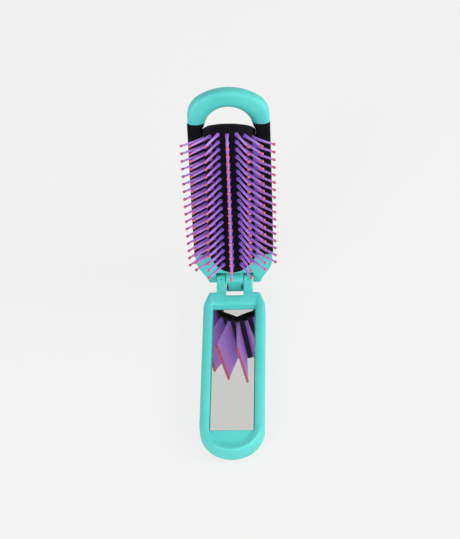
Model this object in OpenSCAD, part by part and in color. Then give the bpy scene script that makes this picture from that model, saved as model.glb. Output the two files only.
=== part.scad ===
/* [Handle] */
// Half of the handle's width, and the radius of its round end
handle_r = 17.3; // [15:0.1:19]
// Distance from the hinge pin to the centre of the handle's round end
handle_reach = 95.2; // [92:0.1:110]
// Thickness of the handle, from its flat back to the top of its rim
handle_t = 11; // [10:0.1:14]
// Height of the line where the back shell meets the front bezel, above the back
shell_h = 5.9; // [5:0.1:6.3]
// Radius of the handle's long front edges
front_edge_r = 2.4; // [1:0.1:2.4]
// Radius of the handle's long back edges
back_edge_r = 2.4; // [1:0.1:2.4]
// Wall thickness of the hollow back shell
shell_wall = 2; // [1.4:0.1:2.6]

/* [Mirror] */
// Width of the mirror plate
mirror_w = 23.6; // [20:0.1:23.8]
// Length of the mirror plate
mirror_len = 79.6; // [60:0.1:80]
// Thickness of the mirror plate
mirror_t = 1.8; // [1.2:0.1:2]
// Thickness of the adhesive layer under the mirror
adhesive_t = 0.3; // [0.2:0.05:0.4]
// Depth of the mirror face below the plane in which the two halves meet
mirror_depth = 2.2; // [1.6:0.1:2.6]

/* [Hinge] */
// Radius of the steel hinge pin
pin_r = 1; // [0.8:0.05:1.2]
// Radial clearance between the pin and its bores
pin_gap = 0.05; // [0.03:0.01:0.1]
// Radius of the head's barrel around the pin
barrel_r = 3; // [2.6:0.1:3.1]
// Radius of the handle arms' rounded ends around the pin
arm_r = 2.4; // [2:0.1:2.9]
// Distance from the middle to the inside of each handle arm
arm_in = 5; // [4.8:0.1:5.2]
// Distance from the middle to the outside of each handle arm
arm_out = 10.1; // [9:0.1:10.2]
// Angle between the head and the line of the handle, 0 when straight
head_tilt = 69; // [40:1:89]

/* [Head] */
// Half of the head's width
head_w = 22; // [21.6:0.1:22.4]
// Thickness of the head frame
head_t = 8.7; // [8:0.1:9.5]
// Distance from the pin to the top of the arch
head_len = 116; // [115:0.1:117]
// Radius of the wide round along the top of the arch
arch_top_r = 30; // [27:0.5:34]
// Radius of the rounds at the arch's two shoulders
arch_corner_r = 12; // [11:0.5:14]
// Radius of the window's round end inside the arch
window_r = 13.35; // [13.1:0.05:13.6]
// Radius of the arch's edges
arch_edge_r = 2.9; // [1:0.1:3.4]

/* [Pad and bristles] */
// Outer radius of the rubber pad
pad_r = 13.3; // [13.1:0.05:13.3]
// Height of the pad's axis above the plane in which the two halves meet
pad_z = 3.8; // [3:0.1:4.2]
// Thickness of the pad's rubber wall
pad_wall = 2; // [1.4:0.1:2]
// Distance between neighbouring bristles in a row
pitch = 4.4; // [4.3:0.05:4.4]
// Length of a bristle, from the pad to the middle of its ball tip
bristle_len = 16; // [12:0.1:16]
// Radius of a bristle where it leaves the pad
bristle_base_r = 1.1; // [0.8:0.05:1.15]
// Radius of a bristle at its ball tip
bristle_tip_r = 0.62; // [0.5:0.02:0.7]
// Radius of the ball tips
ball_r = 0.87; // [0.8:0.01:0.95]

/* [Hidden] */
$fn = 48;

teal = [0.37, 0.81, 0.78];
grip_black = [0.07, 0.07, 0.08];
rubber_black = [0.11, 0.10, 0.12];
bristle_violet = [0.59, 0.35, 0.78];
tip_pink = [0.87, 0.37, 0.45];

// The pin's axis lies in the plane where the closed halves meet.
rim_z = -0.3;
pin_z = handle_t - rim_z;
pin_y = 60;
part_z = shell_h - pin_z;

// Handle outline: two corner rounds at the hinge end, one big round at the far end.
end_r = 1.8;
end_c = [handle_r - 4.3, -9.3];
shoulder_r = 8;
shoulder_c = [handle_r - shoulder_r, -17.5];
notch_y = -9.6;

// Tray and mirror pocket in the bezel
rim_w = 5.3;
rim_slope_w = 2.6;
mirror_top_y = -19.2;
tray_top_y = -16.4;
tray_end_y = mirror_top_y - mirror_len + 2.8;
pocket_gap = 0.1;
pocket_floor_z = -mirror_depth - mirror_t - adhesive_t;

// Arms of the handle
arm_end_y = -7.5;
arm_back_z = -8.6;
arm_step = [-4, -7.4];
arm_foot = [-6.5, rim_z];
arm_nose = -50;

// Shoulder of the head
head_back_z = rim_z - head_t;
shoulder_z = -2.2;
slot_y = [-3.35, 2.7];
slot_out = arm_out + 0.5;
slot_floor_t = 1.1;
knuckle_w = arm_in - 0.4;
tongue_y = -7.6;
tongue_front_z = 0.5;
tongue_sweep_r = 10.9;
neck_w = 3.5;
neck_y = [-6.2, -2.85];
grip_start_y = 16;
grip_in = window_r + 1.05;
rail_in = 16.2;
rail_out = 20.4;
rail_z = [-7.6, -1.8];
rail_gap = 0.05;
rail_end_y = 97;
lip_y = 95.4;
lip_gap = 0.05;
window_end_r = 18.1;
window_end_y = 32.6;
window_top_y = 92.2;

// Pad: a rubber tunnel whose ends are cut to arcs in plan
pad_foot_z = [-3.4, -1.4];
pad_near_y = 14.9;
pad_near_r = 17.9;
pad_far_y = 104.8;
pad_far_r = 14.7;
pad_lean_top = [97.1, 8];
pad_lean_foot = [85.4, -10];
hole_r = 1.25;

// One row of each kind, from the middle outwards: place of the bristle roots
// across the pad, height, splay, first place along the pad, and how many.
row_x = [0, 4.8, 9.05, 12.9];
row_z = [17.1, 16.2, 13.55, 7.03];
row_splay = [0, 23.5, 37.7, 45.5];
far_y = 98.95;
row_far_y = [far_y, far_y, far_y - pitch / 2, far_y - 3 * pitch / 2];
row_count = [19, 19, 18, 17];
strip_depth = [-2.4, -2.4, -2.4, -3.4];
strip_w = [1.6, 1.6, 1.6, 1.2];
strip_t = [1, 1, 1, 0.8];
stub_r = 0.9;

module in_handle() {
    translate([0, pin_y, pin_z])
        children();
}

module in_head() {
    translate([0, pin_y, pin_z])
        rotate([head_tilt, 0, 0])
            children();
}

module both_sides() {
    children();
    mirror([1, 0, 0])
        children();
}

// Direction from circle A to circle B turned so that it points at their common outer tangent
function tangent_dir(a, ra, b, rb) =
    let (d = b - a, ang = atan2(d[1], d[0]) + acos((ra - rb) / norm(d)))
    [cos(ang), sin(ang)];

// Radius of the rounds at the hinge end when the outline is moved inwards by d
function end_round(d) = max(end_r - d, 0.05);

// Half of the handle's outline, moved inwards by d
function outline_half(d) =
    let (n = tangent_dir(end_c, end_r, shoulder_c, shoulder_r))
    [[0, end_c[1] + end_round(d)],
     [end_c[0], end_c[1] + end_round(d)],
     end_c + end_round(d) * n,
     shoulder_c + (shoulder_r - d) * n,
     [handle_r - d, shoulder_c[1]],
     [handle_r - d, -handle_reach],
     [0, -handle_reach]];

module handle_outline(d) {
    both_sides() {
        polygon(outline_half(d));
        translate(end_c)
            circle(r = end_round(d));
        translate(shoulder_c)
            circle(r = shoulder_r - d);
    }
    translate([0, -handle_reach])
        circle(r = handle_r - d, $fn = 96);
}

// A disc of radius r between two heights with rounded upper and lower edges
module round_disc(r, z_low, z_high, low_r, high_r) {
    rotate_extrude()
        intersection() {
            hull() {
                translate([r - low_r, z_low + low_r])
                    circle(r = low_r, $fn = 32);
                translate([r - high_r, z_high - high_r])
                    circle(r = high_r, $fn = 32);
                translate([0, z_low])
                    square([0.01, z_high - z_low]);
            }
            translate([0, z_low])
                square([r, z_high - z_low]);
        }
}

module handle_body() {
    hull() {
        both_sides() {
            translate(end_c)
                round_disc(end_r, -pin_z, rim_z, back_edge_r, front_edge_r);
            translate(shoulder_c)
                round_disc(shoulder_r, -pin_z, rim_z, back_edge_r, front_edge_r);
        }
        translate([0, -handle_reach, 0])
            round_disc(handle_r, -pin_z, rim_z, back_edge_r, front_edge_r, $fn = 96);
    }
}

// Everything between two heights
module slab(z_low, z_high) {
    translate([-50, -150, z_low])
        cube([100, 300, z_high - z_low]);
}

// The gap between the arms, where the head's tongue moves
module tongue_notch() {
    translate([-arm_in, notch_y, -20])
        cube([2 * arm_in, 30, 40]);
}

module handle_shell() {
    color(teal) in_handle()
        difference() {
            intersection() {
                handle_body();
                slab(-pin_z, part_z);
            }
            translate([0, 0, -pin_z + shell_wall])
                linear_extrude(handle_t)
                    intersection() {
                        handle_outline(shell_wall);
                        translate([-50, notch_y - shell_wall - 150])
                            square([100, 150]);
                    }
            tongue_notch();
        }
}

// The recess that the rim surrounds, wider at the top
module tray() {
    hull() {
        translate([0, 0, -mirror_depth])
            linear_extrude(0.01)
                tray_outline(rim_w, tray_end_y);
        translate([0, 0, 0.5])
            linear_extrude(0.01)
                tray_outline(rim_w - rim_slope_w, -handle_reach);
    }
}

module tray_outline(d, end_y) {
    translate([-handle_r + d, end_y])
        square([2 * (handle_r - d), tray_top_y - end_y + (rim_w - d)]);
    translate([0, end_y])
        circle(r = handle_r - d, $fn = 96);
}

module mirror_block(grow, z_low, z_high) {
    translate([-mirror_w / 2 - grow, mirror_top_y - mirror_len - grow, z_low])
        cube([mirror_w + 2 * grow, mirror_len + 2 * grow, z_high - z_low]);
}

// Side view of an arm: a barrel around the pin that falls away to the rim
function arm_side() =
    let (a = atan2(arm_foot[1], arm_foot[0]) + 360 - acos(arm_r / norm(arm_foot)))
    [arm_foot, arm_r * [cos(a), sin(a)], [0, 0], arm_r * [cos(arm_nose), sin(arm_nose)],
     [1, arm_step[1]], arm_step, [arm_step[0], arm_back_z], [arm_end_y, arm_back_z], [arm_end_y, part_z],
     [arm_end_y - 3, part_z], [arm_end_y - 3, rim_z - 1], [arm_end_y - 0.6, rim_z]];

module along_x(x_low, x_high) {
    translate([x_low, 0, 0])
        rotate([90, 0, 90])
            linear_extrude(x_high - x_low)
                children();
}

module arm() {
    along_x(arm_in, arm_out) {
        polygon(arm_side());
        circle(r = arm_r);
    }
}

module pin_bore(reach) {
    along_x(-reach, reach)
        circle(r = pin_r + pin_gap);
}

module handle_bezel() {
    color(teal) in_handle()
        difference() {
            union() {
                difference() {
                    intersection() {
                        handle_body();
                        slab(part_z, rim_z);
                    }
                    tray();
                    mirror_block(pocket_gap, pocket_floor_z, 1);
                    tongue_notch();
                }
                both_sides()
                    arm();
            }
            pin_bore(arm_out + 1);
        }
}

module mirror_plate() {
    color("silver") in_handle()
        mirror_block(0, -mirror_depth - mirror_t, -mirror_depth);
}

module mirror_adhesive() {
    color("white") in_handle()
        mirror_block(-1, pocket_floor_z, pocket_floor_z + adhesive_t);
}

module hinge_pin() {
    color("lightgray") in_handle()
        along_x(-arm_out + 0.1, arm_out - 0.1)
            circle(r = pin_r);
}

// Points on an arc around centre c from one angle to another
function arc(c, r, from, to, steps) =
    [for (i = [0 : steps]) let (a = from + (to - from) * i / steps) c + r * [cos(a), sin(a)]];

// The arch's outline, moved inwards by d: a wide round on top and two rounds at the shoulders
function arch_outline(d) =
    let (reach = arch_top_r - arch_corner_r,
         spread = acos((head_w - arch_corner_r) / reach),
         top_y = head_len - arch_top_r,
         corner = reach * [cos(spread), sin(spread)])
    concat([[d - head_w, lip_y + lip_gap], [head_w - d, lip_y + lip_gap]],
           arc([corner[0], top_y + corner[1]], arch_corner_r - d, 0, spread, 7),
           arc([0, top_y], arch_top_r - d, spread, 180 - spread, 14),
           arc([-corner[0], top_y + corner[1]], arch_corner_r - d, 180 - spread, 180, 7));

// The arch: nested layers, each thicker than the one around it, round off its edges
module arch() {
    steps = 4;
    difference() {
        for (i = [0 : steps])
            let (a = 90 * i / steps, inset = arch_edge_r * (1 - cos(a)), sunk = arch_edge_r * (1 - sin(a)))
                translate([0, 0, head_back_z + sunk])
                    linear_extrude(head_t - 2 * sunk)
                        polygon(arch_outline(inset));
        window_end();
    }
}

// A whole outline from its right half, which runs from the middle line to the middle line
function whole(half) =
    concat(half, [for (i = [len(half) - 1 : -1 : 0]) if (half[i][0] > 0) [-half[i][0], half[i][1]]]);

module window_end() {
    translate([0, window_top_y, -20])
        cylinder(r = window_r, h = 40, $fn = 96);
}

module rail(grow) {
    translate([rail_in - grow, 12, rail_z[0] - grow])
        cube([rail_out - rail_in + 2 * grow, rail_end_y - 12, rail_z[1] - rail_z[0] + 2 * grow]);
}

// Half of the shoulder's outline, which spreads from the hinge to the full width
function shoulder_half() =
    [[0, slot_y[1]], [slot_out, slot_y[1]], [slot_out, slot_y[0]], [13.9, slot_y[0]], [14.8, -2.7],
     [15.4, -0.7], [20.4, 6.4], [21.3, 9.5], [head_w - 0.4, grip_start_y],
     [grip_in - 0.05, grip_start_y], [grip_in - 0.05, 20.5], [0, 20.5]];

module shoulder() {
    difference() {
        translate([0, 0, head_back_z])
            linear_extrude(shoulder_z - head_back_z)
                polygon(whole(shoulder_half()));
        translate([0, window_end_y, -20])
            cylinder(r = window_end_r, h = 40, $fn = 96);
    }
    translate([-slot_out - 1, slot_y[0], head_back_z])
        cube([2 * slot_out + 2, slot_y[1] - slot_y[0] + 1, slot_floor_t]);
}

// The middle part of the hinge: a barrel and a tongue that stops the head when it is straight
module knuckle() {
    along_x(-knuckle_w, knuckle_w) {
        circle(r = barrel_r);
        intersection() {
            circle(r = tongue_sweep_r, $fn = 96);
            translate([tongue_y, head_back_z + 0.4])
                square([-tongue_y, tongue_front_z - head_back_z - 0.4]);
        }
        translate([-1, head_back_z + 0.4])
            square([slot_y[1] + 1.1, shoulder_z - head_back_z - 0.4]);
    }
}

module neck_cut() {
    translate([neck_w, neck_y[0], -20])
        cube([10, neck_y[1] - neck_y[0], 40]);
}

module head_frame() {
    color(teal) in_head()
        difference() {
            union() {
                arch();
                shoulder();
                both_sides()
                    rail(0);
                difference() {
                    knuckle();
                    both_sides()
                        neck_cut();
                }
            }
            pin_bore(knuckle_w + 1);
        }
}

module side_grip() {
    color(grip_black)
        difference() {
            translate([grip_in, grip_start_y + 0.05, head_back_z])
                cube([head_w + 0.2 - grip_in, lip_y - grip_start_y - 0.05, rim_z - head_back_z]);
            rail(rail_gap);
        }
}

module side_grip_left() {
    in_head()
        mirror([1, 0, 0])
            side_grip();
}

module side_grip_right() {
    in_head()
        side_grip();
}

// Cross-section of the pad: a round top, straight sides and feet that turn outwards
module pad_section() {
    difference() {
        union() {
            translate([0, pad_z])
                circle(r = pad_r, $fn = 96);
            translate([-pad_r, pad_foot_z[0]])
                square([2 * pad_r, pad_z - pad_foot_z[0]]);
            translate([-grip_in + 0.1, pad_foot_z[0]])
                square([2 * grip_in - 0.2, pad_foot_z[1] - pad_foot_z[0]]);
        }
        translate([0, pad_z])
            circle(r = pad_r - pad_wall, $fn = 96);
        translate([-pad_r + pad_wall, -50])
            square([2 * (pad_r - pad_wall), 50 + pad_z]);
    }
}

// Below the crown of its dome the pad leans back from the arch
module pad_lean() {
    along_x(-50, 50)
        polygon([pad_lean_top, pad_lean_foot, [150, pad_lean_foot[1]], [150, pad_lean_top[1]]]);
}

module pad_plan() {
    intersection() {
        translate([-50, 0])
            square([100, 200]);
        union() {
            translate([0, pad_near_y + pad_near_r])
                circle(r = pad_near_r, $fn = 96);
            translate([-grip_in, pad_near_y + pad_near_r])
                square([2 * grip_in, pad_far_y - pad_far_r - pad_near_y - pad_near_r]);
            translate([0, pad_far_y - pad_far_r])
                circle(r = pad_far_r, $fn = 96);
        }
    }
}

module bristle_pad() {
    color(rubber_black) in_head()
        difference() {
            intersection() {
                translate([0, 150, 0])
                    rotate([90, 0, 0])
                        linear_extrude(150)
                            pad_section();
                translate([0, 0, -10])
                    linear_extrude(40)
                        pad_plan();
            }
            difference() {
                translate([-50, window_top_y, -20])
                    cube([100, 50, 20 + 0.2]);
                translate([0, window_top_y, -25])
                    cylinder(r = window_r - 0.15, h = 50, $fn = 96);
            }
            pad_lean();
            for (side = [-1, 1], k = [0 : 3])
                if (side > 0 || k > 0)
                    along_row(k, side)
                        translate([0, 0, -6])
                            cylinder(r = hole_r, h = 10, $fn = 16);
        }
}

// Places its children at every root of row k, with +Z along the bristle
module along_row(k, side) {
    for (i = [0 : row_count[k] - 1])
        translate([side * row_x[k], row_far_y[k] - i * pitch, row_z[k]])
            rotate([0, side * row_splay[k], 0])
                children();
}

module bristle(k) {
    translate([0, 0, strip_depth[k] - 0.2])
        cylinder(r = stub_r, h = -strip_depth[k] + 0.2, $fn = 16);
    cylinder(r1 = bristle_base_r, r2 = bristle_tip_r, h = bristle_len - ball_r * 0.6, $fn = 16);
}

module row(k, side) {
    row_len = (row_count[k] - 1) * pitch;
    color(bristle_violet) in_head() {
        along_row(k, side)
            bristle(k);
        translate([side * row_x[k], row_far_y[k] - row_len, row_z[k]])
            rotate([0, side * row_splay[k], 0])
                translate([-strip_w[k] / 2, -strip_w[k] / 2, strip_depth[k] - strip_t[k]])
                    cube([strip_w[k], row_len + strip_w[k], strip_t[k]]);
    }
}

module tip() {
    difference() {
        translate([0, 0, bristle_len])
            sphere(r = ball_r, $fn = 20);
        translate([0, 0, bristle_len - ball_r * 1.6])
            cylinder(r = 2, h = ball_r, $fn = 16);
    }
}

module tips(k, side) {
    color(tip_pink) in_head()
        along_row(k, side)
            tip();
}

handle_shell();
handle_bezel();
mirror_plate();
mirror_adhesive();
hinge_pin();
head_frame();
side_grip_left();
side_grip_right();
bristle_pad();
row(3, -1);  // bristles_left_3
row(2, -1);  // bristles_left_2
row(1, -1);  // bristles_left_1
row(0, 1);  // bristles_centre
row(1, 1);  // bristles_right_1
row(2, 1);  // bristles_right_2
row(3, 1);  // bristles_right_3
tips(3, -1);  // tips_left_3
tips(2, -1);  // tips_left_2
tips(1, -1);  // tips_left_1
tips(0, 1);  // tips_centre
tips(1, 1);  // tips_right_1
tips(2, 1);  // tips_right_2
tips(3, 1);  // tips_right_3
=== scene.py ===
import math

import bmesh
import bpy
from mathutils import Matrix, Vector


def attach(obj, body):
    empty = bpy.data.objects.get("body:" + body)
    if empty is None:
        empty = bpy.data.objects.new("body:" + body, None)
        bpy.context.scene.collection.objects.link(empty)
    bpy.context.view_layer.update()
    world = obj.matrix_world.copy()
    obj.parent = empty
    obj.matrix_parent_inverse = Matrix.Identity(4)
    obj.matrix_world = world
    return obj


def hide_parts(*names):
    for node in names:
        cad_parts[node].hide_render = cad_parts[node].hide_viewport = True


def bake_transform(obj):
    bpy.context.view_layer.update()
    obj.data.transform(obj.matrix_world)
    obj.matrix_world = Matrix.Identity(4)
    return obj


# The looks of a folding hairbrush with mirror. Each mesh replaces one or more solids of the
# frame. Both halves are drawn flat, in millimetres from the hinge pin: x across, y along the
# half, z out of its front. in_handle and in_head put such a point into the scene.

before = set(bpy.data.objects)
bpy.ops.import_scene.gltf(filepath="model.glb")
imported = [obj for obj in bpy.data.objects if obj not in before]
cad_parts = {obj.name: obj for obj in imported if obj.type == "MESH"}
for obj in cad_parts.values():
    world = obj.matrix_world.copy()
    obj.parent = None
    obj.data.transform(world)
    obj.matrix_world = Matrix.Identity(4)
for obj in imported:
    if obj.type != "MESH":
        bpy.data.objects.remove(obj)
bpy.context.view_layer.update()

# ---------------------------------------------------------------- dimensions, in millimetres
PIN_Y, PIN_Z = 60.0, 11.3
TILT = math.radians(69)  # how far the head leans up from straight

HANDLE_R, HANDLE_REACH = 17.3, 95.2
RIM_Z, PART_Z, TRAY_Z, BACK_Z = -0.3, -5.4, -2.2, -11.3
END_R, END_C = 1.8, (13.0, -9.3)
SHOULDER_R, SHOULDER_C = 8.0, (9.3, -17.5)
NOTCH_Y, ARM_IN, ARM_OUT = -9.6, 5.0, 10.1
TRAY_TOP_Y, TRAY_HALF, TRAY_END_Y, TRAY_END_LEN = -16.4, 12.0, -97.5, 6.8
TRAY_CORNER_R, POCKET_DEPTH = 0.9, 2.1
GROOVE = 0.12  # depth of the line between the shell and the bezel
MIRROR_W, MIRROR_LEN, MIRROR_TOP_Y = 23.6, 79.6, -19.2
MIRROR_DEPTH, MIRROR_GAP = 1.8, 0.1
BARREL_R, ARM_R = 3.0, 2.4
# the handle's loops: places across its hinge end, in the notch and beside it, and steps
NOTCH_X, SHELF_X = (0.0, 2.5, 4.99), (5.4, 7.5, 9.6)
SIDE_STEPS, END_STEPS = 24, 28

HEAD_W, HEAD_BACK_Z, HEAD_LEN = 22.0, -9.0, 115.7
ARCH_TOP_R, ARCH_CORNER_R = 30.0, 12.0
EDGE_POWER, FRONT_POWER = 0.62, 0.5
WINDOW_R, WINDOW_TOP_Y = 13.35, 92.5
WINDOW_END_R, WINDOW_END_Y = 18.1, 32.6
SHOULDER_FRONT_Z, SLOT_Y, SLOT_OUT, SLOT_FLOOR = -2.2, (-3.35, 2.7), 10.35, 1.1
KNUCKLE_W, NECK_W, NECK_Y, TONGUE_Y, TONGUE_FRONT_Z = 4.8, 3.6, (-5.3, -1.5), -6.9, 1.7
GRIP_IN, GRIP_START_Y, GRIP_OUT = 14.4, 16.0, 22.2
LIP_Y, LIP_LEAN = 97.1, 0.3

PAD_R, PAD_AXIS_Z, PAD_WALL = 13.3, 3.8, 2.0
PAD_NEAR_Y, PAD_NEAR_R = 14.9, 17.9
PAD_FAR_Y, PAD_FAR_R = 104.8, 14.7
PAD_FOOT_Z, PAD_FOOT_TOP_Z = -3.4, -1.4
PAD_TIP_Y, PAD_TIP_LEAN, PAD_TIP_BOW = 97.2, 0.495, (0.00346, 0.000054)
PAD_V_TOP, PAD_V_FALL = 14.85, 0.45

PITCH = 4.4
FAR_Y = 98.95
BRISTLE_LEN, BRISTLE_BASE_R, BRISTLE_TIP_R, BALL_R = 16.0, 0.74, 0.5, 0.84
SHAFT_SIDES, BALL_SIDES, BALL_STEPS = 14, 16, 10  # facets around each, and along a ball
# from the centre row outwards: across, height, splay in degrees, first bristle's y, count
ROWS = [
    (0.0, 17.1, 0.0, FAR_Y, 19),
    (4.8, 16.2, 23.5, FAR_Y, 19),
    (9.05, 13.55, 37.7, FAR_Y - PITCH / 2, 18),
    (12.9, 7.03, 45.5, FAR_Y - 3 * PITCH / 2, 17),
]


def in_handle(x, y, z):
    """A point measured from the hinge pin, in the handle's own directions, as a scene point."""
    return Vector((x, y + PIN_Y, z + PIN_Z)) / 1000


def in_head(x, y, z):
    """A point measured from the hinge pin, in the head's own directions, as a scene point."""
    return Vector((x, PIN_Y + y * math.cos(TILT) - z * math.sin(TILT),
                   PIN_Z + y * math.sin(TILT) + z * math.cos(TILT))) / 1000


# ---------------------------------------------------------------- mesh helpers
def finish_mesh(name, bm, material, body=None, sharp=35):
    """Turns bm into a piece that rides on a body; edges over `sharp` degrees stay hard."""
    bmesh.ops.remove_doubles(bm, verts=bm.verts, dist=1e-6)
    bmesh.ops.recalc_face_normals(bm, faces=bm.faces)
    for edge in bm.edges:
        edge.smooth = len(edge.link_faces) == 2 and edge.calc_face_angle(0) < math.radians(sharp)
    for face in bm.faces:
        face.smooth = True
    mesh = bpy.data.meshes.new(name)
    bm.to_mesh(mesh)
    bm.free()
    mesh.materials.append(material)
    piece = bpy.data.objects.new(name, mesh)
    bpy.context.scene.collection.objects.link(piece)
    weigh = piece.modifiers.new("even_normals", "WEIGHTED_NORMAL")
    weigh.keep_sharp = True
    if body:
        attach(piece, body)
    return piece


def skin(bm, loops):
    """Joins closed loops of points with quads and caps both ends."""
    rings = [[bm.verts.new(p) for p in loop] for loop in loops]
    count = len(rings[0])
    for low, high in zip(rings, rings[1:]):
        for i in range(count):
            j = (i + 1) % count
            bm.faces.new((low[i], low[j], high[j], high[i]))
    bm.faces.new(rings[0])
    bm.faces.new(rings[-1])
    return rings


def inset(outline, d):
    """The outline moved inwards by d; it runs anticlockwise."""
    moved = []
    count = len(outline)
    for i in range(count):
        before, here, after = (Vector(outline[(i + k) % count]) for k in (-1, 0, 1))
        a, b = (here - before).normalized(), (after - here).normalized()
        na, nb = Vector((-a.y, a.x)), Vector((-b.y, b.x))
        moved.append(here + (na + nb) * (d / max(1 + na.dot(nb), 0.3)))
    return moved


def plate(bm, outline, low, high, low_r, high_r, place, steps=5, between=0):
    """A plate between two heights with rounded lower and upper edges; `between` adds loops."""
    loops = []
    for k in range(steps, -1, -1):
        a = math.pi / 2 * k / steps
        loops.append([place(p.x, p.y, low + low_r * (1 - math.sin(a)))
                      for p in inset(outline, low_r * (1 - math.cos(a)))])
    for k in range(1, between + 1):
        height = low + low_r + (high - high_r - low - low_r) * k / (between + 1)
        loops.append([place(x, y, height) for x, y in outline])
    for k in range(steps + 1):
        a = math.pi / 2 * k / steps
        loops.append([place(p.x, p.y, high - high_r * (1 - math.sin(a)))
                      for p in inset(outline, high_r * (1 - math.cos(a)))])
    skin(bm, loops)


def arc(cx, cy, r, start, end, steps):
    """Points on an arc, in degrees."""
    return [(cx + r * math.cos(math.radians(start + (end - start) * k / steps)),
             cy + r * math.sin(math.radians(start + (end - start) * k / steps)))
            for k in range(steps + 1)]


def rounded(points, radii, steps=5):
    """A polygon whose corners are rounded by quadratic curves that start the given length away."""
    outline = []
    count = len(points)
    for i, (p, r) in enumerate(zip(points, radii)):
        here = Vector(p)
        if r == 0:
            outline.append(tuple(here))
            continue
        before = Vector(points[i - 1])
        after = Vector(points[(i + 1) % count])
        a = here + (before - here).normalized() * r
        b = here + (after - here).normalized() * r
        for k in range(steps + 1):
            t = k / steps
            q = a * (1 - t) ** 2 + here * 2 * t * (1 - t) + b * t * t
            outline.append(tuple(q))
    return outline


# ---------------------------------------------------------------- materials
ROUGHNESS_DRIFT = 0.04


def new_material(name):
    """A material with its node tree and its main shader."""
    material = bpy.data.materials.new(name)
    material.use_nodes = True
    tree = material.node_tree
    return material, tree, tree.nodes["Principled BSDF"]


def grain(tree, shader, scale, strength, distance):
    """Fine moulding grain as a bump on the shader; gives back the coordinates it uses."""
    coord = tree.nodes.new("ShaderNodeTexCoord")
    noise = tree.nodes.new("ShaderNodeTexNoise")
    noise.inputs["Scale"].default_value = scale
    noise.inputs["Detail"].default_value = 4
    bump = tree.nodes.new("ShaderNodeBump")
    bump.inputs["Strength"].default_value = strength
    bump.inputs["Distance"].default_value = distance
    tree.links.new(coord.outputs["Object"], noise.inputs["Vector"])
    tree.links.new(noise.outputs["Fac"], bump.inputs["Height"])
    tree.links.new(bump.outputs["Normal"], shader.inputs["Normal"])
    return coord


def ramp(tree, fac, stops):
    """A colour ramp driven by fac, from (place, colour) pairs."""
    node = tree.nodes.new("ShaderNodeValToRGB")
    elements = node.color_ramp.elements
    while len(elements) < len(stops):
        elements.new(0.5)
    for element, (place, colour) in zip(elements, stops):
        element.position = place
        element.color = (*colour, 1)
    tree.links.new(fac, node.inputs["Fac"])
    return node


def srgb(r, g, b):
    """An sRGB colour from 0 to 255 as scene-linear values."""
    shares = (r / 255, g / 255, b / 255)
    return tuple(v / 12.92 if v <= 0.04045 else ((v + 0.055) / 1.055) ** 2.4 for v in shares)


def plastic(name, dark, light, roughness, grain_scale, grain_depth,
            coat=0.0, blotch=60, gloss=0.5):
    """Moulded plastic: slow colour drift, fine grain and an even sheen."""
    material, tree, shader = new_material(name)
    coord = grain(tree, shader, grain_scale, 0.25, grain_depth)
    drift = tree.nodes.new("ShaderNodeTexNoise")
    drift.inputs["Scale"].default_value = blotch
    drift.inputs["Detail"].default_value = 3
    tree.links.new(coord.outputs["Object"], drift.inputs["Vector"])
    colours = ramp(tree, drift.outputs["Fac"], [(0.3, dark), (0.7, light)])
    tree.links.new(colours.outputs["Color"], shader.inputs["Base Color"])
    rough = tree.nodes.new("ShaderNodeMapRange")
    rough.inputs["To Min"].default_value = roughness - ROUGHNESS_DRIFT
    rough.inputs["To Max"].default_value = roughness + ROUGHNESS_DRIFT
    tree.links.new(drift.outputs["Fac"], rough.inputs["Value"])
    tree.links.new(rough.outputs["Result"], shader.inputs["Roughness"])
    shader.inputs["Specular IOR Level"].default_value = gloss
    shader.inputs["Coat Weight"].default_value = coat
    shader.inputs["Coat Roughness"].default_value = 0.25
    return material


def mirror_material():
    """Silvered glass, a little grey."""
    material, tree, shader = new_material("mirror")
    grain(tree, shader, 30, 0.02, 0.00001)
    shader.inputs["Base Color"].default_value = (0.665, 0.66, 0.645, 1)
    shader.inputs["Metallic"].default_value = 1
    shader.inputs["Roughness"].default_value = 0.02
    return material


def steel_material():
    """Drawn wire for the pin."""
    material, tree, shader = new_material("steel_pin")
    grain(tree, shader, 900, 0.2, 0.00003)
    shader.inputs["Base Color"].default_value = (0.4, 0.4, 0.41, 1)
    shader.inputs["Metallic"].default_value = 1
    shader.inputs["Roughness"].default_value = 0.3
    return material


def adhesive_material():
    """Pale foam tape."""
    material, tree, shader = new_material("adhesive_foam")
    grain(tree, shader, 1200, 0.4, 0.0001)
    shader.inputs["Base Color"].default_value = (0.7, 0.7, 0.66, 1)
    shader.inputs["Roughness"].default_value = 0.8
    return material


def bristle_material():
    """Nylon that is deep violet at the root and turns to magenta at the tip."""
    material, tree, shader = new_material("violet_nylon")
    grain(tree, shader, 1800, 0.15, 0.00005)
    along = tree.nodes.new("ShaderNodeAttribute")
    along.attribute_name = "along"
    colours = ramp(tree, along.outputs["Fac"], [
        (0.0, srgb(138, 94, 200)), (0.2, srgb(168, 118, 216)),
        (0.6, srgb(192, 142, 228)), (0.9, srgb(200, 140, 222)), (1.0, srgb(200, 118, 200))])
    tree.links.new(colours.outputs["Color"], shader.inputs["Base Color"])
    shader.inputs["Roughness"].default_value = 0.38
    shader.inputs["Subsurface Weight"].default_value = 0.15
    shader.inputs["Subsurface Radius"].default_value = (0.0012, 0.0006, 0.0012)
    return material


TEAL = plastic("teal_plastic", srgb(76, 188, 183), srgb(83, 195, 190), 0.46, 2600, 0.00004,
               gloss=0.4)
GRIP = plastic("black_grip", srgb(7, 7, 9), srgb(12, 12, 14), 0.5, 2200, 0.00005, gloss=0.1)
RUBBER = plastic("black_rubber", srgb(4, 3, 6), srgb(15, 13, 18), 0.7, 1500, 0.00012,
                 blotch=400, gloss=0.08)
PINK = plastic("pink_tip", srgb(176, 70, 104), srgb(204, 96, 124), 0.34, 2400, 0.00004,
               coat=0.2, blotch=300)
MIRROR = mirror_material()
STEEL = steel_material()
ADHESIVE = adhesive_material()
VIOLET = bristle_material()


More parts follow.
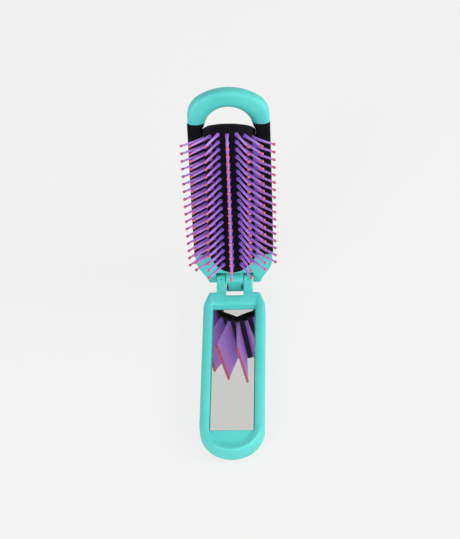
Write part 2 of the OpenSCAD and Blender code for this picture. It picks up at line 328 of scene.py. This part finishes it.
# ---------------------------------------------------------------- handle
def tangent(a, ra, b, rb):
    """Direction from circle A to circle B turned towards their common outer tangent."""
    a, b = Vector(a), Vector(b)
    d = b - a
    angle = math.atan2(d.y, d.x) + math.acos((ra - rb) / d.length)
    return Vector((math.cos(angle), math.sin(angle)))


def handle_half(d, ease=0.0):
    """Right half of the handle's outline moved inwards by d, less by the share ease at its end."""
    n = tangent(END_C, END_R, SHOULDER_C, SHOULDER_R)
    lean = math.degrees(math.atan2(n.y, n.x))
    end_r = max(END_R - d, 0.05)
    points = [(x, NOTCH_Y - d) for x in NOTCH_X]
    points += [(x, END_C[1] + end_r) for x in SHELF_X]
    points += arc(*END_C, end_r, 90, lean, 6)
    points += arc(*SHOULDER_C, SHOULDER_R - d, lean, 0, 6)
    straight = -HANDLE_REACH - SHOULDER_C[1]
    for k in range(1, SIDE_STEPS):
        points.append((HANDLE_R - d, SHOULDER_C[1] + straight * k / SIDE_STEPS))
    for k in range(END_STEPS + 1):
        a = math.pi / 2 * k / END_STEPS
        r = HANDLE_R - d * (1 - ease * math.sin(a) ** 2)
        points.append((r * math.cos(a), -HANDLE_REACH - r * math.sin(a)))
    return points


def tray_half():
    """Right half of the tray's edge, point for point with handle_half."""
    points = [(x, TRAY_TOP_Y) for x in NOTCH_X + SHELF_X]
    points += [(TRAY_HALF - 1.6 + 0.2 * k, TRAY_TOP_Y) for k in range(3)]
    points += arc(TRAY_HALF - TRAY_CORNER_R, TRAY_TOP_Y - TRAY_CORNER_R, TRAY_CORNER_R, 90, 0, 8)
    points += [(TRAY_HALF, TRAY_TOP_Y - TRAY_CORNER_R - 0.5 * k) for k in range(1, 3)]
    start = points[-1][1]
    for k in range(1, SIDE_STEPS):
        points.append((TRAY_HALF, start + (TRAY_END_Y - start) * k / SIDE_STEPS))
    points += [(x, TRAY_END_Y + y * TRAY_END_LEN / TRAY_HALF)
               for x, y in arc(0, 0, TRAY_HALF, 0, -90, END_STEPS)]
    return points


def pocket_half():
    """Right half of the mirror pocket's edge, point for point with handle_half."""
    w, top = MIRROR_W / 2 + MIRROR_GAP, MIRROR_TOP_Y + MIRROR_GAP
    end = MIRROR_TOP_Y - MIRROR_LEN - MIRROR_GAP
    points = [(x, top) for x in NOTCH_X + SHELF_X]
    points += [(w - 1.6 + 0.2 * k, top) for k in range(3)]
    points += [(w - 0.08 * (8 - k), top) for k in range(9)]
    points += [(w, top - 0.4 * k) for k in range(1, 3)]
    start = points[-1][1]
    for k in range(1, SIDE_STEPS):
        points.append((w, start + (end + 1 - start) * k / SIDE_STEPS))
    corner = 5
    points += [(w, end + 1 - k / corner) for k in range(corner + 1)]
    count = END_STEPS - corner
    points += [(w * (1 - (k + 1) / count), end) for k in range(count)]
    return points


def whole(half):
    """A closed loop from a right half that runs from the hinge end to the far end."""
    return half + [(-x, y) for x, y in half[::-1] if x > 1e-6]


def make_shell():
    """The back of the handle, with a rounded edge."""
    bm = bmesh.new()
    steps, r = 6, 2.4
    loops = []
    for k in range(steps, -1, -1):
        a = math.pi / 2 * k / steps
        loops.append([in_handle(x, y, BACK_Z + r * (1 - math.sin(a)))
                      for x, y in whole(handle_half(r * (1 - math.cos(a))))])
    loops.append([in_handle(x, y, PART_Z - GROOVE) for x, y in whole(handle_half(0))])
    loops.append([in_handle(x, y, PART_Z) for x, y in whole(handle_half(GROOVE))])
    skin(bm, loops)
    piece = finish_mesh("back_shell", bm, TEAL, "handle")
    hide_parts("handle_shell")


def bead_fall(t, y):
    """How far the bead has fallen at t across its inner side: steep by the mirror, soft beyond."""
    steep_power, soft_start, soft_power, change_len = 2.3, 1.35, 2.4, 5
    steep = 1 - math.sqrt(max(0.0, 1 - t ** steep_power))
    soft = 1 - (1 - t ** soft_start) ** soft_power
    share = min(max((MIRROR_TOP_Y - MIRROR_LEN - y) / change_len, 0), 1)
    return steep + (soft - steep) * share


def make_bezel():
    """The front of the handle: a round bead around the tray."""
    outer_r, ease = 2.5, 0.5
    outer_steps, inner_steps = 8, 14
    bm = bmesh.new()
    loops = [
        [in_handle(x, y, PART_Z) for x, y in whole(handle_half(GROOVE))],
        [in_handle(x, y, PART_Z + GROOVE) for x, y in whole(handle_half(0))],
    ]
    for k in range(outer_steps + 1):
        a = math.pi / 2 * k / outer_steps
        loops.append([in_handle(x, y, RIM_Z - outer_r * (1 - math.sin(a)))
                      for x, y in whole(handle_half(outer_r * (1 - math.cos(a)), ease))])
    crest = whole(handle_half(outer_r, ease))
    tray = whole(tray_half())
    for k in range(1, inner_steps + 1):
        t = k / inner_steps
        loops.append([in_handle(x0 + (x1 - x0) * t, y0 + (y1 - y0) * t,
                                RIM_Z - (RIM_Z - TRAY_Z) * bead_fall(t, y1))
                      for (x0, y0), (x1, y1) in zip(crest, tray)])
    pocket = whole(pocket_half())
    loops.append([in_handle(x, y, TRAY_Z) for x, y in pocket])
    loops.append([in_handle(x, y, TRAY_Z - POCKET_DEPTH) for x, y in pocket])
    skin(bm, loops)
    return finish_mesh("front_bezel", bm, TEAL, "handle", sharp=50)


def arm_outline():
    """Side view of an arm, in (y, z), anticlockwise: its stepped back, barrel and run down."""
    points = [(-11.0, RIM_Z - 2.2), (-11.0, PART_Z), (-7.5, PART_Z)]
    points += [(-7.5, -8.2), (-7.1, -8.6), (-4.4, -8.6), (-4.0, -8.2)]
    points += [(-4.0, -7.4), (-2.6, -7.4), (-2.0, -6.9)]
    points += arc(0, 0, ARM_R, -110, 106, 48)
    start = points[-1]
    run, steps = 7.8, 32
    for k in range(1, steps + 1):
        t = k / steps
        fall = 1 - (1 - t) ** 1.4
        points.append((start[0] - run * t, start[1] + (RIM_Z - 0.25 - start[1]) * fall))
    points.append((-10.2, RIM_Z - 1.0))
    return points


def make_arms(bezel):
    """The two arms that hold the pin, each with a small oval dimple on its barrel."""
    dimple_across, dimple_along, dimple_depth, dimple_angle = 0.9, 0.5, 0.8, math.radians(121)
    for side, name in ((-1, "arm_left"), (1, "arm_right")):
        bm = bmesh.new()
        low, high = (ARM_IN, ARM_OUT) if side > 0 else (-ARM_OUT, -ARM_IN)
        middle = (low + high) / 2

        def place(y, z, x):
            r, a = math.hypot(y, z), math.atan2(z, y)
            along = (a - dimple_angle) * ARM_R
            reach = ((x - middle) / dimple_across) ** 2 + (along / dimple_along) ** 2
            if r < ARM_R + 0.4 and reach < 1:
                sunk = 1 - dimple_depth * (1 - reach) / r
                y, z = y * sunk, z * sunk
            return in_handle(x, y, z)

        plate(bm, arm_outline(), low, high, 0.7, 0.7, place, between=24)
        piece = finish_mesh(name, bm, TEAL, "handle")
        piece.parent = bezel


def make_mirror():
    """A bare mirror plate, very slightly off level across."""
    bm = bmesh.new()
    w, top, end = MIRROR_W / 2, MIRROR_TOP_Y, MIRROR_TOP_Y - MIRROR_LEN
    outline = [(-w, end), (w, end), (w, top), (-w, top)]
    off_level = math.tan(math.radians(0.6))
    plate(bm, outline, TRAY_Z - MIRROR_DEPTH, TRAY_Z, 0.1, 0.35,
          lambda x, y, z: in_handle(x, y, z + off_level * x), steps=1)
    piece = finish_mesh("mirror_glass", bm, MIRROR, "handle", sharp=10)
    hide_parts("mirror_plate")


# ---------------------------------------------------------------- head
def arch_section(outer, inner, lean):
    """A cross-section of the arch between an outer and an inner point in plan."""
    low, high, count = HEAD_BACK_Z, RIM_Z, 36
    outer, inner = Vector(outer), Vector(inner)
    middle = (outer + inner) / 2
    half = (outer - inner) / 2
    points = []
    for k in range(count):
        a = 2 * math.pi * k / count
        c, s = math.cos(a), math.sin(a)
        power = FRONT_POWER if c > 0 and s > 0 else EDGE_POWER
        u = math.copysign(abs(c) ** power, c)
        v = math.copysign(abs(s) ** power, s)
        p = middle + half * u
        z = (low + high) / 2 + (high - low) / 2 * v
        points.append(in_head(p.x, p.y + lean * (z - high), z))
    return points


def walk(points, steps):
    """Evenly spaced points along a run of points."""
    lengths = [0.0]
    for p, q in zip(points, points[1:]):
        lengths.append(lengths[-1] + (Vector(q) - Vector(p)).length)
    placed = []
    at = 0
    for k in range(steps + 1):
        goal = lengths[-1] * k / steps
        while at < len(points) - 2 and lengths[at + 1] < goal:
            at += 1
        t = (goal - lengths[at]) / (lengths[at + 1] - lengths[at])
        placed.append(Vector(points[at]).lerp(Vector(points[at + 1]), t))
    return placed


def make_arch():
    """The hanging arch: a wide round with two tighter shoulders around a half circle."""
    reach = ARCH_TOP_R - ARCH_CORNER_R
    spread = math.degrees(math.acos((HEAD_W - ARCH_CORNER_R) / reach))
    centre_y = HEAD_LEN - ARCH_TOP_R
    corner_y = centre_y + reach * math.sin(math.radians(spread))
    start = LIP_Y - 1.1
    outer = [(HEAD_W, start)]
    outer += arc(HEAD_W - ARCH_CORNER_R, corner_y, ARCH_CORNER_R, 0, spread, 30)
    outer += arc(0, centre_y, ARCH_TOP_R, spread, 90, 40)[1:]
    low = math.degrees(math.asin((start - WINDOW_TOP_Y) / WINDOW_R))
    inner = arc(0, WINDOW_TOP_Y, WINDOW_R, low, 90, 60)
    steps, leaning_rings = 44, 8
    pairs = list(zip(walk(outer, steps), walk(inner, steps)))
    pairs += [(Vector((-o.x, o.y)), Vector((-i.x, i.y))) for o, i in pairs[-2::-1]]
    last = len(pairs) - 1
    loops = []
    for n, (o, i) in enumerate(pairs):
        lean = LIP_LEAN * max(0, 1 - min(n, last - n) / leaning_rings)
        loops.append(arch_section(o, i, lean))
    bm = bmesh.new()
    skin(bm, loops)
    return finish_mesh("arch", bm, TEAL, "head")


def make_shoulder(frame_piece):
    """The part of the head by the hinge, with a slot for the handle's arms and its floor."""
    rail_in = 14.35
    reach = math.degrees(math.asin(rail_in / WINDOW_END_R))
    window = arc(0, WINDOW_END_Y, WINDOW_END_R, -90, -90 + reach, 14)
    corners = [(SLOT_OUT, SLOT_Y[1]), (SLOT_OUT, SLOT_Y[0]), (13.9, SLOT_Y[0]), (14.8, -2.7),
               (15.4, -0.7), (20.4, 6.4), (21.3, 9.5), (21.7, GRIP_START_Y)]
    right = [(0, SLOT_Y[1]), (4.0, SLOT_Y[1])]
    right += rounded(corners, [0.3, 0.7, 0.45, 0.6, 0.8, 1.6, 1.2, 0.7])
    right += [(rail_in, GRIP_START_Y)]
    right += window[::-1]
    outline = right + [(-x, y) for x, y in right[::-1] if x > 1e-6]
    bm = bmesh.new()
    plate(bm, outline, HEAD_BACK_Z, SHOULDER_FRONT_Z, 0.4, 0.4, in_head)
    w = SLOT_OUT + 0.5
    floor = [(-w, SLOT_Y[0]), (w, SLOT_Y[0]), (w, SLOT_Y[1] + 1), (-w, SLOT_Y[1] + 1)]
    plate(bm, floor, HEAD_BACK_Z, HEAD_BACK_Z + SLOT_FLOOR, 0.3, 0.3, in_head, steps=2)
    piece = finish_mesh("shoulder", bm, TEAL, "head")
    piece.parent = frame_piece


def make_knuckle(frame_piece):
    """The tongue between the handle's arms: barrel, web, neck and end under one sloping front."""
    back, web_front = HEAD_BACK_Z + 0.4, -1.5
    low = math.degrees(math.asin(-SHOULDER_FRONT_Z / BARREL_R))
    reach = math.hypot(TONGUE_Y, TONGUE_FRONT_Z)
    high = math.degrees(math.atan2(TONGUE_FRONT_Z, TONGUE_Y) - math.acos(BARREL_R / reach))
    top = Vector((math.cos(math.radians(high)), math.sin(math.radians(high)))) * BARREL_R
    slope = (TONGUE_FRONT_Z - top.y) / (TONGUE_Y - top.x)

    def front(y):
        return top.y + slope * (y - top.x)

    neck_end, step = NECK_Y
    barrel = [(3.2, back), (3.2, SHOULDER_FRONT_Z)] + arc(0, 0, BARREL_R, -low, high, 28)
    barrel += [(step, front(step)), (step - 0.7, 1.9), (-BARREL_R, 0.4), (-BARREL_R, back)]
    inside, below = step + 0.8, neck_end - 0.4
    neck = [(inside, back + 0.1), (inside, front(inside) - 0.02),
            (below, front(below) - 0.02), (below, back + 1)]
    end = rounded([(neck_end, back + 0.6), (neck_end, front(neck_end)), (TONGUE_Y, TONGUE_FRONT_Z),
                   (TONGUE_Y, back + 0.9)], [0.3, 0.3, 0.45, 0.6])
    web = [(inside, back + 0.2), (inside, web_front), (below, web_front), (below, back + 0.8)]
    for name, outline, half, edge in (("knuckle_barrel", barrel, KNUCKLE_W, 0.25),
                                      ("knuckle_web", web, KNUCKLE_W - 0.1, 0.1),
                                      ("knuckle_neck", neck, NECK_W, 0.2),
                                      ("knuckle_end", end, KNUCKLE_W, 0.2)):
        bm = bmesh.new()
        plate(bm, outline, -half, half, edge, edge, lambda y, z, x: in_head(x, y, z))
        piece = finish_mesh(name, bm, TEAL, "head")
        piece.parent = frame_piece


def make_grips():
    """Soft black sleeves around the rails; the arch's legs stand on their leaning far ends."""
    far_part = 90

    def place(x, y, z):
        return in_head(x, y + (LIP_LEAN * (z - RIM_Z) if y > far_part else 0), z)

    right = [(GRIP_IN, GRIP_START_Y), (GRIP_OUT - 0.2, GRIP_START_Y), (GRIP_OUT, 40.0),
             (GRIP_OUT, LIP_Y), (13.3, LIP_Y), (13.3, 95.2), (GRIP_IN, 94.0)]
    for side, name in ((-1, "left"), (1, "right")):
        outline = right if side > 0 else [(-x, y) for x, y in right[::-1]]
        bm = bmesh.new()
        plate(bm, outline, HEAD_BACK_Z - 0.05, RIM_Z + 0.05, 0.9, 0.9, place)
        piece = finish_mesh("grip_" + name, bm, GRIP, "head")
        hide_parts("side_grip_" + name)


def pad_profile():
    """The pad's section, from one foot over the crown to the other: (x, z) outside and inside."""
    inner_r, foot_x, low = PAD_R - PAD_WALL, GRIP_IN - 0.1, PAD_FOOT_TOP_Z + 0.5
    outside = [(foot_x, PAD_FOOT_Z), (foot_x, PAD_FOOT_TOP_Z), (PAD_R, PAD_FOOT_TOP_Z + 0.1)]
    inside = [(inner_r, PAD_FOOT_Z)] * 3
    steps = 5
    for k in range(steps):
        z = low + (PAD_AXIS_Z - low) * k / steps
        outside.append((PAD_R, z))
        inside.append((inner_r, z))
    left_out = [(-x, z) for x, z in outside[::-1]]
    left_in = [(-x, z) for x, z in inside[::-1]]
    steps = 48
    for k in range(steps + 1):
        a = math.pi * k / steps
        outside.append((PAD_R * math.cos(a), PAD_AXIS_Z + PAD_R * math.sin(a)))
        inside.append((inner_r * math.cos(a), PAD_AXIS_Z + inner_r * math.sin(a)))
    return outside + left_out, inside + left_in


def pad_ends(x, z):
    """Where the pad starts and ends along the head: arcs in plan, and the far one leans back."""
    across = min(abs(x), GRIP_IN - 0.1)
    near = PAD_NEAR_Y + PAD_NEAR_R - math.sqrt(PAD_NEAR_R ** 2 - across ** 2)
    far = PAD_FAR_Y - PAD_FAR_R + math.sqrt(PAD_FAR_R ** 2 - across ** 2)
    square, fourth = PAD_TIP_BOW
    return near, min(far, PAD_TIP_Y + PAD_TIP_LEAN * z - square * x ** 2 - fourth * x ** 4)


def make_pad():
    """The rubber tunnel that carries the bristles; its inner edge by the hinge is cut to a V."""
    outside, inside = pad_profile()
    bm = bmesh.new()
    steps = 60
    grids = []
    for points in (outside, inside):
        rows = []
        for k in range(steps + 1):
            row = []
            for x, z in points:
                near, far = pad_ends(x, z)
                if points is inside and k == 0 and z > PAD_AXIS_Z:
                    z = min(z, PAD_V_TOP - PAD_V_FALL * abs(x))
                row.append(bm.verts.new(in_head(x, near + (far - near) * k / steps, z)))
            rows.append(row)
        grids.append(rows)
    for rows in grids:
        for low, high in zip(rows, rows[1:]):
            for i in range(len(low) - 1):
                bm.faces.new((low[i], low[i + 1], high[i + 1], high[i]))
    out_rows, in_rows = grids
    for end in (0, -1):
        for i in range(len(outside) - 1):
            bm.faces.new((out_rows[end][i], out_rows[end][i + 1],
                          in_rows[end][i + 1], in_rows[end][i]))
    for i in (0, -1):
        for k in range(steps):
            bm.faces.new((out_rows[k][i], out_rows[k + 1][i], in_rows[k + 1][i], in_rows[k][i]))
    bmesh.ops.dissolve_degenerate(bm, dist=1e-7, edges=bm.edges)
    piece = finish_mesh("rubber_pad", bm, RUBBER, sharp=40)
    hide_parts("bristle_pad")
    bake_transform(piece)


# ---------------------------------------------------------------- bristles
def bristle_rings():
    """Places along a bristle, from inside the pad to its ball: distance, radius, ramp value."""
    rings = [(-3.2, 0.85, 0.0), (-0.5, 0.9, 0.0), (0.0, 1.14, 0.0), (0.5, 1.1, 0.02),
             (1.0, 1.02, 0.06), (1.7, 0.9, 0.1), (2.6, 0.8, 0.17)]
    start, tip, steps = 3.6, BRISTLE_LEN - BALL_R * 0.5, 8
    for k in range(steps + 1):
        t = k / steps
        radius = BRISTLE_BASE_R + (BRISTLE_TIP_R - BRISTLE_BASE_R) * t
        rings.append((start + (tip - start) * t, radius, 0.24 + 0.76 * t))
    return rings


def fan(x, k, t):
    """How far a tip leans across and along the head, in row kind k at x.

    t runs from 0 at the far end of the row to 1 at its near end.
    """
    if k == 3:
        return (1.2 * t * t, 1.3 - 2.6 * t) if x < 0 else (0.3 - 0.9 * t, 1.3 * (1 - t) ** 2)
    across = (0.8 - t, 0.3 - (1.4 if x < 0 else 0.8) * t, -0.45)[k]
    return across, 0.15 - 0.03 * x


def circle(count):
    """Evenly spaced angles around a circle."""
    return [2 * math.pi * n / count for n in range(count)]


def make_row(k, side):
    """One row of bristles: shafts joined by a strip inside the pad, and their ball tips."""
    x_root, height, splay, first, count = ROWS[k]
    x_root *= side
    name = "centre" if k == 0 else ("left_%d" if side < 0 else "right_%d") % k
    splay = math.radians(side * splay)
    shafts, balls = bmesh.new(), bmesh.new()
    along = shafts.verts.layers.float.new("along")

    def point(u, y, s, lean=(0, 0)):
        bend = (max(s, 0) / BRISTLE_LEN) ** 1.3
        x = x_root + math.cos(splay) * u + math.sin(splay) * s + lean[0] * bend
        z = height - math.sin(splay) * u + math.cos(splay) * s
        return in_head(x, y + lean[1] * bend, z)

    rings = bristle_rings()
    for i in range(count):
        y = first - i * PITCH
        lean = fan(x_root, k, i / (count - 1))
        made = skin(shafts, [[point(r * math.cos(a), y + r * math.sin(a), s, lean)
                              for a in circle(SHAFT_SIDES)] for s, r, _ in rings])
        for ring, (_, _, value) in zip(made, rings):
            for vert in ring:
                vert[along] = value
        loops = []
        for j in range(1, BALL_STEPS):
            b = math.pi * j / BALL_STEPS
            r = BALL_R * math.sin(b)
            loops.append([point(r * math.cos(a), y + r * math.sin(a),
                                BRISTLE_LEN - 1.08 * BALL_R * math.cos(b), lean)
                          for a in circle(BALL_SIDES)])
        skin(balls, loops)
    # the strip that joins the roots: half width, thickness and place of its front
    w, thick, front = (0.6, 0.8, -3.4) if k == 3 else (0.8, 1.0, -2.4)
    last = first - (count - 1) * PITCH
    corners = [(-w, front - thick), (w, front - thick), (w, front), (-w, front)]
    skin(shafts, [[point(u, y, s) for u, s in corners] for y in (last - w, first + w)])
    piece = finish_mesh("row_" + name + "_shafts", shafts, VIOLET, "row_" + name, sharp=60)
    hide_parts("bristles_" + name)
    piece = finish_mesh("row_" + name + "_balls", balls, PINK, "row_" + name, sharp=80)
    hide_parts("tips_" + name)


# ---------------------------------------------------------------- stage, light and camera
BACKGROUND = (*srgb(242, 242, 242), 1)
WORLD_LIGHT = (0.62, 0.62, 0.61, 1)
FLOOR_SIZE, FLOOR_Z, FLOOR_GREY = 3, -0.0005, (0.8, 0.8, 0.8, 1)
GLOW_SHARE = 0.88  # of what is seen of the floor; the rest takes light and the object's shadow
LAMP_TARGET, LAMP_SIZE = (0, 0.05, 0.05), 0.5
LAMPS = [  # name, place in metres, watts
    ("right", (0.85, 0.0, 0.5), 5.4),
    ("right_front", (0.6, -0.5, 0.5), 1.9),
    ("front", (0.15, -0.7, 0.65), 0.4),
    ("left_front", (-0.5, -0.6, 0.5), 3.8),
]
IMAGE_W, IMAGE_H = 460, 539


def background_rays(tree):
    """1 for the rays that see the background: from the camera, by reflection or through glass."""
    path = tree.nodes.new("ShaderNodeLightPath")
    total = path.outputs["Is Camera Ray"]
    for kind in ("Is Glossy Ray", "Is Transmission Ray"):
        add = tree.nodes.new("ShaderNodeMath")
        add.operation = "ADD"
        add.use_clamp = True
        tree.links.new(total, add.inputs[0])
        tree.links.new(path.outputs[kind], add.inputs[1])
        total = add.outputs["Value"]
    return total


def make_stage():
    """A pale floor that keeps a faint shadow."""
    bpy.ops.mesh.primitive_plane_add(size=FLOOR_SIZE, location=(0, 0.3, FLOOR_Z))
    floor = bpy.context.object
    floor.name = "floor"
    material, tree, shader = new_material("pale_floor")
    grain(tree, shader, 40, 0.05, 0.001)
    shader.inputs["Base Color"].default_value = FLOOR_GREY
    shader.inputs["Roughness"].default_value = 0.9
    glow = tree.nodes.new("ShaderNodeEmission")
    glow.inputs["Color"].default_value = BACKGROUND
    mix = tree.nodes.new("ShaderNodeMixShader")
    share = tree.nodes.new("ShaderNodeMath")
    share.operation = "MULTIPLY"
    share.inputs[1].default_value = GLOW_SHARE
    tree.links.new(background_rays(tree), share.inputs[0])
    tree.links.new(share.outputs["Value"], mix.inputs["Fac"])
    tree.links.new(shader.outputs["BSDF"], mix.inputs[1])
    tree.links.new(glow.outputs["Emission"], mix.inputs[2])
    tree.links.new(mix.outputs["Shader"], tree.nodes["Material Output"].inputs["Surface"])
    floor.data.materials.append(material)


def area_light(name, place, power):
    data = bpy.data.lights.new(name, "AREA")
    data.shape = "DISK"
    data.size = LAMP_SIZE
    data.energy = power
    lamp = bpy.data.objects.new(name, data)
    lamp.location = place
    aim = Vector(LAMP_TARGET) - Vector(place)
    lamp.rotation_euler = aim.to_track_quat("-Z", "Y").to_euler()
    bpy.context.scene.collection.objects.link(lamp)


def make_light():
    """An even grey world, which the camera and glossy surfaces see paler, and four soft lamps."""
    world = bpy.data.worlds.new("studio")
    world.use_nodes = True
    bpy.context.scene.world = world
    tree = world.node_tree
    back = tree.nodes["Background"]
    mix = tree.nodes.new("ShaderNodeMix")
    mix.data_type = "RGBA"
    mix.inputs[6].default_value = WORLD_LIGHT
    mix.inputs[7].default_value = BACKGROUND
    tree.links.new(background_rays(tree), mix.inputs[0])
    tree.links.new(mix.outputs[2], back.inputs["Color"])
    for name, place, power in LAMPS:
        area_light(name, place, power)


def make_camera():
    """A camera 0.95 m away, looking down at the handle, that frames the photograph's image."""
    pixel = 0.5625  # millimetres at the pin
    distance = 1680.0  # in pixels
    elevation, azimuth, roll = math.radians(51.9), math.radians(-4.46), math.radians(4.33)
    pin_x, pin_y = 234.7, 279.5  # the pin's place in the image
    axes = (Matrix.Rotation(roll, 3, "Z") @ Matrix.Rotation(elevation - math.pi / 2, 3, "X")
            @ Matrix.Rotation(azimuth, 3, "Z"))
    offset = Vector((IMAGE_W / 2 - pin_x, pin_y - IMAGE_H / 2, distance)) * pixel
    place = axes.transposed() @ offset
    data = bpy.data.cameras.new("camera")
    data.sensor_width = 36
    data.lens = distance * data.sensor_width / IMAGE_H
    camera = bpy.data.objects.new("camera", data)
    pose = axes.transposed().to_4x4()
    pose.translation = in_handle(*place)
    camera.matrix_world = pose
    bpy.context.scene.collection.objects.link(camera)
    bpy.context.scene.camera = camera


def node_material(node, material):
    """Gives a solid of the frame that has no mesh of its own here a material."""
    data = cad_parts[node].data
    data.materials.clear()
    data.materials.append(material)


make_shell()
bezel = make_bezel()
make_arms(bezel)
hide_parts("handle_bezel")
make_mirror()
arch = make_arch()
make_shoulder(arch)
make_knuckle(arch)
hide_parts("head_frame")
make_grips()
make_pad()
for kind in range(len(ROWS)):
    for row_side in ((1,) if kind == 0 else (-1, 1)):
        make_row(kind, row_side)
node_material("hinge_pin", STEEL)
node_material("mirror_adhesive", ADHESIVE)
make_stage()
make_light()
make_camera()
bpy.context.scene.view_settings.view_transform = "Standard"
